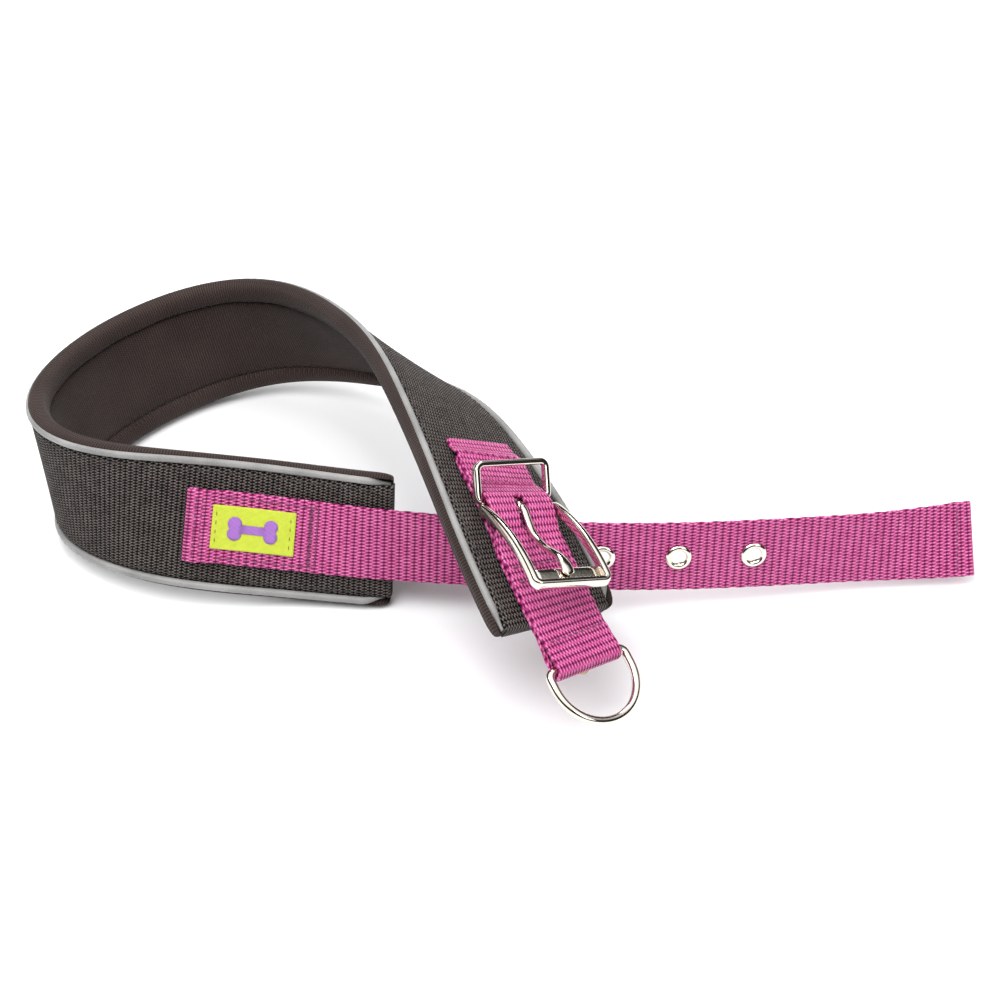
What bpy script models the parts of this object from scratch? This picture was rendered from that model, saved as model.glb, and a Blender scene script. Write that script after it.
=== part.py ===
"""Padded flat-buckle dog collar, unbuckled and standing on its lower edge as an open loop.

Lengths are in millimetres and turned to metres when a mesh is written. The collar is a flat strip
bent in space, so its sewn pieces are drawn flat and wrapped onto it. A flat point has three numbers:
s along the collar, 0 at the label end of the padded band, growing towards the buckle end, negative
along the free tail; w across, growing towards the upper edge; n outwards from the padding.
"""

import math

import bmesh
import bpy
import numpy as np
from mathutils import Matrix, Vector

# The padded band and the strap.
BAND_LENGTH = 440.0
TAIL_LENGTH = 196.0
STRAP_WIDTH = 25.0
STRAP_THICKNESS = 1.4
WEB_HALF = 20.0
PIPING_AT = 21.4
LABEL_STRAP_START = 66.0
BUCKLE_STRAP_START = 370.0
HOLE_AT = (-70.5, -95.5, -120.5)

# How the strip runs: bend, twist and sideways bend, in degrees for each 40 mm.
RUN_STEP = 40.0
BAND_RUN = (
    (2, 6, 6), (-15, 7, 2), (28, -21, -2), (78, -13, -3), (30, -2, -4), (28, 3.5, 1.5),
    (51.5, 13, 5.5), (18.5, 18, 14.5), (18.5, 15, 5), (7, 10, -2.5), (14, 10.5, -9), (9.5, -4.5, -9),
)
TAIL_STEP = 49.0
TAIL_RUN = ((2, 6, 0), (6, 2, 0), (6, -1, 0), (0, -1, 0), (5, -40, 0))
LABEL_END = (-37.1, -13.2, 23.1)
LABEL_END_YAW = -6.4
LABEL_END_LEAN = 20.7

# The metalwork.
KEEPER_S, KEEPER_N, KEEPER_LEAN = 400.6, 4.6, 50.0
PIVOT_S, PIVOT_N = 404.4, 5.3
BAR_RADIUS = 1.2
FRAME_LENGTH = 36.8
FRAME_HALF = 12.1
FRAME_TILT = 8.0
DRING_S, DRING_N, DRING_TILT = 458.2, 2.55, -4.0
DRING_WIRE = 1.4
START_SKEW, KEEPER_SKEW, FOLD_SKEW = 0.13, 0.06, 0.09

COLLECTION = bpy.data.collections.new("padded_dog_collar")


def clear_scene():
    for obj in list(bpy.data.objects):
        bpy.data.objects.remove(obj)
    bpy.context.scene.collection.children.link(COLLECTION)


def make_material(name, colour, metallic, roughness):
    material = bpy.data.materials.new(name)
    material.use_nodes = True
    shader = material.node_tree.nodes["Principled BSDF"]
    shader.inputs["Base Color"].default_value = (*colour, 1.0)
    shader.inputs["Metallic"].default_value = metallic
    shader.inputs["Roughness"].default_value = roughness
    return material


# --- the strip -------------------------------------------------------------------------------


def walk(run, step, length, sign):
    """Points and (along, across, outward) directions every millimetre from the label end."""
    yaw, lean = math.radians(LABEL_END_YAW), math.radians(LABEL_END_LEAN)
    along = np.array([math.cos(yaw), math.sin(yaw), 0.0])
    back = np.array([-math.sin(yaw), math.cos(yaw), 0.0])
    across = math.cos(lean) * np.array([0.0, 0.0, 1.0]) + math.sin(lean) * back
    frame = np.array([along, across, np.cross(along, across)])
    marks = np.arange(len(run)) * step
    rates = np.radians(np.array(run, float)) / RUN_STEP
    point = np.array(LABEL_END)
    points, frames = [point], [frame]
    for i in range(int(length)):
        middle = i + 0.5
        if middle > marks[-1]:
            bend = twist = side = 0.0
        else:
            bend, twist, side = (np.interp(middle, marks, rates[:, k]) for k in range(3))
        turn = Vector((bend * frame[1] + twist * frame[0] + side * frame[2]) * sign)
        spin = np.array(Matrix.Rotation(turn.length, 3, turn)) if turn.length > 1e-9 else np.eye(3)
        after = frame @ spin.T
        point = point + sign * (frame[0] + after[0]) / 2
        frame = after
        points.append(point)
        frames.append(frame)
    return np.array(points), np.array(frames)


BAND_POINTS, BAND_FRAMES = walk(BAND_RUN, RUN_STEP, BAND_LENGTH + 40, -1)
TAIL_POINTS, TAIL_FRAMES = walk(TAIL_RUN, TAIL_STEP, TAIL_LENGTH + 2, 1)


def strip_frame(s):
    """The strip's point and its (along, across, outward) directions at s."""
    points, frames = (BAND_POINTS, BAND_FRAMES) if s >= 0 else (TAIL_POINTS, TAIL_FRAMES)
    low = min(int(abs(s)), len(points) - 2)
    share = abs(s) - low
    point = points[low] * (1 - share) + points[low + 1] * share
    frame = frames[low] * (1 - share) + frames[low + 1] * share
    return point, frame / np.linalg.norm(frame, axis=1)[:, None]


def wrap(s, w, n):
    point, frame = strip_frame(s)
    return Vector((point + w * frame[1] + n * frame[2]) / 1000)


def hardware_matrix(s, n, tilt=0.0, skew=0.0):
    """Where a metal piece sits: X towards the buckle end, Z outwards, turned by tilt about -Y."""
    point, (along, across, outward) = strip_frame(s)
    axes = Matrix((-along, -across, outward)).transposed().to_4x4()
    place = Matrix.Translation(Vector((point + n * outward) / 1000)) @ axes
    turn = Matrix.Rotation(math.atan(skew), 4, "Z")
    return place @ turn @ Matrix.Rotation(math.radians(-tilt), 4, "Y")


# --- solids ----------------------------------------------------------------------------------


def to_mesh(name, bm):
    """A mesh of the closed body with its faces pointing outwards."""
    bmesh.ops.recalc_face_normals(bm, faces=bm.faces)
    if bm.calc_volume(signed=True) < 0:
        bmesh.ops.reverse_faces(bm, faces=bm.faces)
    mesh = bpy.data.meshes.new(name)
    bm.to_mesh(mesh)
    bm.free()
    return mesh


def finish(name, bm, material, matrix=None):
    mesh = to_mesh(name, bm)
    mesh.materials.append(material)
    obj = bpy.data.objects.new(name, mesh)
    if matrix is not None:
        obj.matrix_world = matrix
    COLLECTION.objects.link(obj)
    return obj


def skin(rings, closed=False):
    """A closed body through rings of points: side faces, and a cap on each end of an open run."""
    bm = bmesh.new()
    rows = [[bm.verts.new(p) for p in ring] for ring in rings]
    pairs = list(zip(rows, rows[1:]))
    if closed:
        pairs.append((rows[-1], rows[0]))
    for a, b in pairs:
        for i in range(len(a)):
            j = (i + 1) % len(a)
            bm.faces.new((a[i], a[j], b[j], b[i]))
    if not closed:
        bm.faces.new(rows[0])
        bm.faces.new(rows[-1])
    return bm


def stations(low, high, step=5.0):
    """Marks from low to high: both ends and every whole step between them."""
    inner = [k * step for k in range(math.ceil((low + 1) / step), math.floor((high - 1) / step) + 1)]
    return [low, *inner, high]


def sewn_run(name, section, low, high, material):
    """A long sewn piece: one section of (w, n) points carried along the strip."""
    return finish(name, skin([[wrap(s, w, n) for w, n in section] for s in stations(low, high)]), material)


def slab(half, low, high, across=1):
    """A flat section, its width cut into that many strips."""
    marks = [half * (2 * k / across - 1) for k in range(across + 1)]
    return [(w, low) for w in marks] + [(w, high) for w in reversed(marks)]


def bead(centre_w, centre_n, half_w, half_n, sides=8):
    turns = [2 * math.pi * (k + 0.5) / sides for k in range(sides)]
    return [(centre_w + half_w * math.cos(a), centre_n + half_n * math.sin(a)) for a in turns]


def solid(bm):
    """A loose object to combine with others."""
    return bpy.data.objects.new("solid", to_mesh("solid", bm))


def flat_block(lows, highs, cuts=()):
    """A box in flat (s, w, n), with rings of edges at the cuts along s."""
    ss = [lows[0], *[c for c in cuts if lows[0] + 0.5 < c < highs[0] - 0.5], highs[0]]
    corners = ((lows[1], lows[2]), (highs[1], lows[2]), (highs[1], highs[2]), (lows[1], highs[2]))
    return solid(skin([[Vector((s, w, n)) for w, n in corners] for s in ss]))


def round_cutter(s, w, radius, low, high, sides=20, stretch=0.0):
    """An upright round bar in flat space, lengthened along s into a slot by stretch."""
    ring = []
    for k in range(sides):
        angle = 2 * math.pi * (k + 0.5) / sides
        shift = math.copysign(stretch / 2, math.cos(angle))
        ring.append((s + shift + radius * math.cos(angle), w + radius * math.sin(angle)))
    return solid(skin([[Vector((*p, n)) for p in ring] for n in (low, high)]))


def combine(base, others, operation):
    """The base with the others cut from it or joined to it, as a new mesh."""
    scene = bpy.context.scene.collection
    for obj in (base, *others):
        scene.objects.link(obj)
    for other in others:
        modifier = base.modifiers.new("combine", "BOOLEAN")
        modifier.operation = operation
        modifier.solver = "EXACT"
        modifier.object = other
    graph = bpy.context.evaluated_depsgraph_get()
    mesh = bpy.data.meshes.new_from_object(base.evaluated_get(graph))
    for obj in (base, *others):
        bpy.data.objects.remove(obj)
    return mesh


def bmesh_of(mesh):
    bm = bmesh.new()
    bm.from_mesh(mesh)
    bmesh.ops.remove_doubles(bm, verts=bm.verts, dist=1e-4)
    return bm


def wrapped(name, mesh, material, before=None):
    """A flat mesh bent onto the strip. before moves each flat point first."""
    bm = bmesh_of(mesh)
    lengths = [vert.co.x for vert in bm.verts]
    lines = [(Vector((0, w, 0)), Vector((0, 1, 0))) for w in (-6.5, 0, 6.5)]
    lines += [(Vector((s, 0, 0)), Vector((1, 0, 0))) for s in stations(min(lengths), max(lengths))[1:-1]]
    for point, normal in lines:
        everything = [*bm.verts, *bm.edges, *bm.faces]
        bmesh.ops.bisect_plane(bm, geom=everything, dist=0.01, plane_co=point, plane_no=normal)
    bmesh.ops.triangulate(bm, faces=bm.faces)
    for vert in bm.verts:
        s, w, n = before(*vert.co) if before else vert.co
        vert.co = wrap(s, w, n)
    return finish(name, bm, material)


def tube(points, sides, half_a, half_b, up, closed=False):
    """A bar of oval section along points. half_b is measured along up, half_a square to it."""
    rings = []
    count = len(points)
    for i, p in enumerate(points):
        before = points[i - 1] if i or closed else p
        after = points[(i + 1) % count] if i < count - 1 or closed else p
        ahead = (after - before).normalized()
        side = ahead.cross(up).normalized()
        raised = side.cross(ahead).normalized()
        size_a = half_a[i] if isinstance(half_a, (list, tuple)) else half_a
        size_b = half_b[i] if isinstance(half_b, (list, tuple)) else half_b
        ring = []
        for k in range(sides):
            angle = 2 * math.pi * (k + 0.5) / sides
            ring.append((p + side * size_a * math.cos(angle) + raised * size_b * math.sin(angle)) / 1000)
        rings.append(ring)
    return skin(rings, closed)


def revolved(profile, sides=24):
    """A ring from a closed (radius, height) profile turned about Z."""
    turns = [2 * math.pi * k / sides for k in range(sides)]
    rings = [[Vector((r * math.cos(a), r * math.sin(a), z)) / 1000 for r, z in profile] for a in turns]
    return skin(rings, closed=True)


# --- the padded band -------------------------------------------------------------------------


def build_band(black, grey, knit, foam):
    sewn_run("outer_webbing", slab(WEB_HALF, -0.6, 0.6, 6), 0, BAND_LENGTH, black)
    sewn_run("foam_pad", slab(20.6, -2.8, -1.0, 6), 1.0, BAND_LENGTH - 1.0, foam)
    sewn_run("inner_panel", slab(15.4, -4.9, -3.3, 4), 0, BAND_LENGTH, knit)
    rim = (
        (22.65, 0.4), (23.05, 0.0), (23.35, -1.3), (23.4, -3.0), (22.9, -4.6), (21.5, -5.7),
        (19.4, -6.0), (17.2, -5.7), (16.1, -4.8), (15.8, -3.2), (20.9, -3.2), (22.0, -2.4), (22.4, -1.2),
    )
    for name, side in (("upper", 1), ("lower", -1)):
        sewn_run(f"piping_{name}", bead(side * PIPING_AT, 0.1, 1.0, 1.1), 0.6, BAND_LENGTH - 0.6, grey)
        sewn_run(f"knit_rim_{name}", [(side * w, n) for w, n in rim], 0, BAND_LENGTH, knit)
    for name, end, way in (("label", 0.0, -1), ("buckle", BAND_LENGTH, 1)):
        lows = sorted((end + way * 0.3, end + way * 1.5))
        plate = flat_block((lows[0], -WEB_HALF, -5.0), (lows[1], WEB_HALF, 0.6))
        foot = sorted((end - way * 6.0, end + way * 1.5))
        flange = flat_block((foot[0], -15.2, -6.0), (foot[1], 15.2, -5.2))
        web = flat_block((lows[0], -15.2, -6.0), (lows[1], 15.2, -4.0))
        wrapped(f"end_binding_{name}", combine(plate, (web, flange), "UNION"), black)


# --- the label end and the tail --------------------------------------------------------------


def build_tail(magenta, yellow, nickel, brass):
    low, high = -TAIL_LENGTH, LABEL_STRAP_START
    cuts = (low + 8, low + 10, high - 6.5, high - 4.5)
    half, bottom, top = STRAP_WIDTH / 2, 1.0, 1.0 + STRAP_THICKNESS
    strap = flat_block((low, -half, bottom), (high, half, top), cuts)
    holes = [round_cutter(s, 0, 3.1, 0, 4) for s in HOLE_AT]

    def fold_ends(s, w, n):
        """Both ends are turned under and sewn, so the strap is twice as thick there."""
        under = n < (bottom + top) / 2
        if s <= low + 8.01 and under:
            n -= STRAP_THICKNESS
        if s >= high - 4.51 and not under:
            n += STRAP_THICKNESS
        return s, w, n

    wrapped("tail_strap", combine(strap, holes, "DIFFERENCE"), magenta, fold_ends)
    sewn_run("label_patch", [(w + 0.3, n) for w, n in slab(7.5, 2.7, 3.2)], 30.2, 58.8, yellow)
    shell = (
        (2.4, 0.3), (2.4, 2.95), (2.75, 3.3), (3.4, 3.4),
        (4.1, 3.15), (4.35, 2.75), (2.8, 2.75), (2.8, 0.3),
    )
    washer = ((3.1, 0.3), (3.1, 0.75), (4.3, 0.75), (4.45, 0.55), (4.2, 0.3))
    for i, s in enumerate(HOLE_AT, 1):
        matrix = hardware_matrix(s, 0)
        finish(f"eyelet_{i}", revolved(shell), nickel, matrix)
        finish(f"eyelet_washer_{i}", revolved(washer), brass, matrix)


# --- the buckle end --------------------------------------------------------------------------


def buckle_strap_path():
    """The strap's middle line, (s, n): sewn end, over the two bars, round the D ring, back beneath."""
    path = [(BUCKLE_STRAP_START, 1.75), (373, 1.75), (376, 2.2), (379, 3.4), (384, 3.4), (388, 3.4)]
    path += [(392, 3.6), (396.4, 5.4), (400.4, 7.1), (404.4, 7.5), (408.5, 6.3), (413, 4.2), (417, 3.4)]
    path += [(s, 3.4) for s in (424, 432, 440, 447)] + [(452, 4.1)]
    for k in range(7):
        angle = math.radians(75 - 25 * k)
        path.append((DRING_S + 2.45 * math.cos(angle), DRING_N + 2.45 * math.sin(angle)))
    path += [(452, 0.9), (447, 1.7), (440, 1.7), (432, 1.7), (424, 1.7), (416, 1.7), (408, 1.7)]
    path += [(400, 1.7), (392, 1.7), (384, 1.7), (380, 1.7)]
    return path


def build_buckle_strap(magenta):
    path = [Vector((s, 0, n)) for s, n in buckle_strap_path()]
    half_w, half_t = STRAP_WIDTH / 2, STRAP_THICKNESS / 2
    rings = []
    for i, p in enumerate(path):
        ahead = (path[min(i + 1, len(path) - 1)] - path[max(i - 1, 0)]).normalized()
        out = Vector((-ahead.z, 0, ahead.x))
        rings.append([p + out * t + Vector((0, w, 0)) for w, t in slab(half_w, -half_t, half_t)])
    slot = round_cutter(406.9, 0, 2.1, 4.6, 12, stretch=8.2)

    def gather(s, w, n):
        """The strap is drawn in at the keeper and the frame, and both its ends are a little askew."""
        share = min(max((15.0 - abs(s - 403.0)) / 6.0, 0.0), 1.0)
        start = min(max((380.0 - s) / 10.0, 0.0), 1.0) * START_SKEW
        fold = min(max((s - 432.0) / 16.0, 0.0), 1.0) * FOLD_SKEW
        return s + (start + fold) * w, w * (1 - 0.065 * share), n

    wrapped("buckle_strap", combine(solid(skin(rings)), [slot], "DIFFERENCE"), magenta, gather)


def arch(x):
    """The height of the buckle frame's bow above its pivot, x mm along it."""
    return 4.4 * math.sin(math.pi * min(max(x, 0), 46) / 46) ** 0.8


def build_frame(nickel):
    def box(x0, x1, y0, y1, z0, z1):
        cuts = [x0 + 2.4 * k for k in range(1, int((x1 - x0) / 2.4))]
        return flat_block((x0, y0, z0), (x1, y1, z1), cuts)

    outer = FRAME_HALF + 2.1
    left = box(-1.7, FRAME_LENGTH + 1.6, FRAME_HALF, outer, -1.5, 1.5)
    right = box(-1.7, FRAME_LENGTH + 1.6, -outer, -FRAME_HALF, -1.5, 1.5)
    front = box(FRAME_LENGTH - 1.2, FRAME_LENGTH + 1.6, -FRAME_HALF - 1, FRAME_HALF + 1, -1.5, 1.5)
    ledge = box(FRAME_LENGTH - 6.0, FRAME_LENGTH - 0.4, -FRAME_HALF - 1, FRAME_HALF + 1, -1.4, -0.7)
    bm = bmesh_of(combine(left, (front, ledge, right), "UNION"))
    for vert in bm.verts:
        vert.co.z += arch(vert.co.x)
    bmesh.ops.triangulate(bm, faces=bm.faces)
    turns = [2 * math.pi * (k + 0.5) / 12 for k in range(12)]
    bar = skin([[Vector((BAR_RADIUS * math.cos(a), y, BAR_RADIUS * math.sin(a))) for a in turns]
                for y in (-13.2, 13.2)])
    bm = bmesh_of(combine(solid(bm), [solid(bar)], "UNION"))
    bmesh.ops.scale(bm, vec=(0.001, 0.001, 0.001), verts=bm.verts)
    finish("buckle_frame", bm, nickel, hardware_matrix(PIVOT_S, PIVOT_N, FRAME_TILT))


def build_prong(nickel):
    """A ring round the pivot bar and an S-shaped tongue whose broad tip lies on the frame's ledge."""
    ring = [Vector((1.95 * math.cos(a), 0, 1.95 * math.sin(a)))
            for a in (math.radians(30 * k) for k in range(12))]
    eye = tube(ring, 8, 0.6, 1.1, Vector((0, 1, 0)), closed=True)
    bmesh.ops.scale(eye, vec=(1000, 1000, 1000), verts=eye.verts)
    line = (
        (0.9, 2.2), (3.2, 1.8), (6.5, 0.7), (10.5, -0.3), (15, -0.1),
        (19.5, 1.2), (23.5, 2.9), (27, 4.1), (31, 4.45), (34.6, 3.8),
    )
    widths = (0.9, 1.1, 1.2, 1.25, 1.25, 1.25, 1.35, 1.7, 2.1, 1.9)
    heights = (0.7, 0.9, 1.0, 1.0, 1.0, 1.0, 1.0, 0.95, 0.85, 0.7)
    tongue = tube([Vector((x, 0, z)) for x, z in line], 8, widths, heights, Vector((0, 0, 1)))
    bmesh.ops.scale(tongue, vec=(1000, 1000, 1000), verts=tongue.verts)
    bm = bmesh_of(combine(solid(eye), [solid(tongue)], "UNION"))
    bmesh.ops.scale(bm, vec=(0.001, 0.001, 0.001), verts=bm.verts)
    finish("prong", bm, nickel, hardware_matrix(PIVOT_S, PIVOT_N, FRAME_TILT))


def rounded_loop(half_width, height, radius, steps=4):
    """A rectangle in the Y-Z plane with its lower bar on the origin, its corners rounded."""
    points = []
    ends = ((1, 0, -90), (1, height, 0), (-1, height, 90), (-1, 0, 180))
    corners = [(side * half_width, z, start) for side, z, start in ends]
    for y, z, start in corners:
        centre = Vector((0, y - math.copysign(radius, y), z + (radius if z == 0 else -radius)))
        for k in range(steps + 1):
            angle = math.radians(start + 90 * k / steps)
            points.append(centre + Vector((0, radius * math.cos(angle), radius * math.sin(angle))))
    return points


def build_keeper(nickel):
    loop = rounded_loop(13.2, 12.0, 2.2)
    bm = tube(loop, 8, 1.1, 1.1, Vector((1, 0, 0)), closed=True)
    finish("keeper_loop", bm, nickel, hardware_matrix(KEEPER_S, KEEPER_N, KEEPER_LEAN, KEEPER_SKEW))


def build_dring(nickel):
    half, straight, depth = 15.2, 5.5, 20.0
    points = [Vector((0, y, 0)) for y in (-9, -4, 0, 4, 9)]
    for k in range(5):
        angle = math.radians(-90 + 22.5 * k)
        points.append(Vector((2.4 + 2.4 * math.sin(angle), half - 2.4 + 2.4 * math.cos(angle), 0)))
    for k in range(1, 16):
        angle = math.radians(90 - 180 * k / 16)
        points.append(Vector((straight + (depth - straight) * math.cos(angle), half * math.sin(angle), 0)))
    for k in range(5):
        angle = math.radians(22.5 * k)
        points.append(Vector((2.4 - 2.4 * math.sin(angle), -half + 2.4 - 2.4 * math.cos(angle), 0)))
    bm = tube(points, 8, DRING_WIRE, DRING_WIRE, Vector((0, 0, 1)), closed=True)
    finish("d_ring", bm, nickel, hardware_matrix(DRING_S, DRING_N, DRING_TILT, FOLD_SKEW))


def build_rivet(brass):
    profile = [Vector((r, 0, z)) for r, z in ((3.4, -0.8), (3.4, -1.4), (2.6, -1.8))]
    turns = [2 * math.pi * k / 20 for k in range(20)]
    rings = [[Vector((p.x * math.cos(a), p.x * math.sin(a), p.z)) / 1000 for a in turns] for p in profile]
    finish("back_rivet", skin(rings), brass, hardware_matrix(457.8, 0.0))


def main():
    clear_scene()
    black = make_material("black_webbing", (0.018, 0.016, 0.016), 0.0, 0.8)
    grey = make_material("reflective_piping", (0.48, 0.48, 0.48), 0.0, 0.5)
    knit = make_material("knit_neoprene", (0.040, 0.030, 0.028), 0.0, 0.95)
    foam = make_material("foam", (0.05, 0.05, 0.05), 0.0, 0.95)
    magenta = make_material("magenta_webbing", (0.52, 0.045, 0.22), 0.0, 0.7)
    yellow = make_material("woven_label", (0.72, 0.87, 0.05), 0.0, 0.8)
    nickel = make_material("nickel_plate", (0.82, 0.79, 0.75), 1.0, 0.15)
    brass = make_material("brass", (0.62, 0.52, 0.34), 1.0, 0.35)
    build_band(black, grey, knit, foam)
    build_tail(magenta, yellow, nickel, brass)
    build_buckle_strap(magenta)
    build_frame(nickel)
    build_prong(nickel)
    build_keeper(nickel)
    build_dring(nickel)
    build_rivet(brass)


main()
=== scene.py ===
"""The looks of the padded dog collar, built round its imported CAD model.

Lengths are in millimetres until they are written to a mesh. A sewn piece is drawn in flat numbers,
(s, w, n): along the collar, across it and outwards. wrap() lays them on the strip in space.
"""

import math

import bmesh
import bpy
import numpy as np
from mathutils import Matrix, Vector


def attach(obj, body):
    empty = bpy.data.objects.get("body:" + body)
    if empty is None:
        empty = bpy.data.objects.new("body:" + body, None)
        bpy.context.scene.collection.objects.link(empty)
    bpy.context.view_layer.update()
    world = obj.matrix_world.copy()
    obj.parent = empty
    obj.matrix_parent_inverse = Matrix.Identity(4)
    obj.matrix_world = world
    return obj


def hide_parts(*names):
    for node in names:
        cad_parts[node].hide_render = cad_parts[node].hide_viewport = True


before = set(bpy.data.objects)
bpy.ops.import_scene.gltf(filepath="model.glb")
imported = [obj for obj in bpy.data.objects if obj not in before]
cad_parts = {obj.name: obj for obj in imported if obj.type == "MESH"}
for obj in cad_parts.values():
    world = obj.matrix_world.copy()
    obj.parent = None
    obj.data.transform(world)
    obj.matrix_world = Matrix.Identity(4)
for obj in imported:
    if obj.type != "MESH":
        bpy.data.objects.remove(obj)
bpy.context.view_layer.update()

# --- the strip: the same run as the CAD's -----------------------------------------------------

BAND_LENGTH = 440.0
TAIL_LENGTH = 196.0
RUN_STEP = 40.0
BAND_RUN = (
    (2, 6, 6), (-15, 7, 2), (28, -21, -2), (78, -13, -3), (30, -2, -4), (28, 3.5, 1.5),
    (51.5, 13, 5.5), (18.5, 18, 14.5), (18.5, 15, 5), (7, 10, -2.5), (14, 10.5, -9), (9.5, -4.5, -9),
)
TAIL_STEP = 49.0
TAIL_RUN = ((2, 6, 0), (6, 2, 0), (6, -1, 0), (0, -1, 0), (5, -40, 0))
LABEL_END = (-37.1, -13.2, 23.1)
LABEL_END_YAW = -6.4
LABEL_END_LEAN = 20.7
BLACK_RIB = 1.7
MAGENTA_RIB = 2.5
STITCH_PITCH = 3.4


def walk(run, step, length, sign):
    """Points and (along, across, outward) directions every millimetre from the label end."""
    yaw, lean = math.radians(LABEL_END_YAW), math.radians(LABEL_END_LEAN)
    along = np.array([math.cos(yaw), math.sin(yaw), 0.0])
    back = np.array([-math.sin(yaw), math.cos(yaw), 0.0])
    across = math.cos(lean) * np.array([0.0, 0.0, 1.0]) + math.sin(lean) * back
    axes = np.array([along, across, np.cross(along, across)])
    marks = np.arange(len(run)) * step
    rates = np.radians(np.array(run, float)) / RUN_STEP
    point = np.array(LABEL_END)
    points, frames = [point], [axes]
    for i in range(int(length)):
        middle = i + 0.5
        if middle > marks[-1]:
            bend = twist = side = 0.0
        else:
            bend, twist, side = (np.interp(middle, marks, rates[:, k]) for k in range(3))
        turn = Vector((bend * axes[1] + twist * axes[0] + side * axes[2]) * sign)
        spin = np.array(Matrix.Rotation(turn.length, 3, turn)) if turn.length > 1e-9 else np.eye(3)
        after = axes @ spin.T
        point = point + sign * (axes[0] + after[0]) / 2
        axes = after
        points.append(point)
        frames.append(axes)
    return np.array(points), np.array(frames)


BAND_POINTS, BAND_FRAMES = walk(BAND_RUN, RUN_STEP, BAND_LENGTH + 40, -1)
TAIL_POINTS, TAIL_FRAMES = walk(TAIL_RUN, TAIL_STEP, TAIL_LENGTH + 2, 1)
POINTS = np.concatenate([TAIL_POINTS[:0:-1], BAND_POINTS])
FRAMES = np.concatenate([TAIL_FRAMES[:0:-1], BAND_FRAMES])
FIRST = 1 - len(TAIL_POINTS)


def strip(s):
    """The strip's points and directions at each of the numbers s."""
    place = np.clip(np.asarray(s, float) - FIRST, 0, len(POINTS) - 1.001)
    low = place.astype(int)
    share = place - low
    points = POINTS[low] * (1 - share)[:, None] + POINTS[low + 1] * share[:, None]
    frames = FRAMES[low] * (1 - share)[:, None, None] + FRAMES[low + 1] * share[:, None, None]
    return points, frames / np.linalg.norm(frames, axis=2)[:, :, None]


def wrap(flat):
    """Flat (s, w, n) in millimetres to points in space, in metres."""
    flat = np.asarray(flat, float)
    points, frames = strip(flat[:, 0])
    return (points + flat[:, 1:2] * frames[:, 1] + flat[:, 2:3] * frames[:, 2]) / 1000


def hardware_matrix(s, n, tilt=0.0, skew=0.0):
    """Where a metal piece sits: X towards the buckle end, Z outwards, turned by tilt about -Y."""
    points, frames = strip([s])
    along, across, outward = frames[0]
    axes = Matrix((-along, -across, outward)).transposed().to_4x4()
    place = Matrix.Translation(Vector((points[0] + n * outward) / 1000)) @ axes
    turn = Matrix.Rotation(math.atan(skew), 4, "Z")
    return place @ turn @ Matrix.Rotation(math.radians(-tilt), 4, "Y")


# --- materials --------------------------------------------------------------------------------


class Value:
    """A number in a material's node tree, so that formulas can be written with operators."""

    def __init__(self, tree, socket):
        self.tree, self.socket = tree, socket

    def op(self, kind, *others):
        node = self.tree.nodes.new("ShaderNodeMath")
        node.operation = kind
        for i, item in enumerate((self, *others)):
            if isinstance(item, Value):
                self.tree.links.new(item.socket, node.inputs[i])
            else:
                node.inputs[i].default_value = item
        return Value(self.tree, node.outputs[0])

    def __add__(self, other):
        return self.op("ADD", other)

    def __sub__(self, other):
        return self.op("SUBTRACT", other)

    def __mul__(self, other):
        return self.op("MULTIPLY", other)

    def __truediv__(self, other):
        return self.op("DIVIDE", other)

    def __pow__(self, other):
        return self.op("POWER", other)

    def floor(self):
        return self.op("FLOOR")

    def fraction(self):
        return self.op("FRACT")

    def hump(self):
        """0 at whole numbers, 1 half way between them."""
        return (self.fraction() * math.pi).op("SINE")


def linear(*srgb):
    """A colour given in 0 to 255 steps, in linear light."""
    steps = [c / 255 / 12.92 if c < 10 else ((c / 255 + 0.055) / 1.055) ** 2.4 for c in srgb]
    return (*steps, 1.0)


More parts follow.
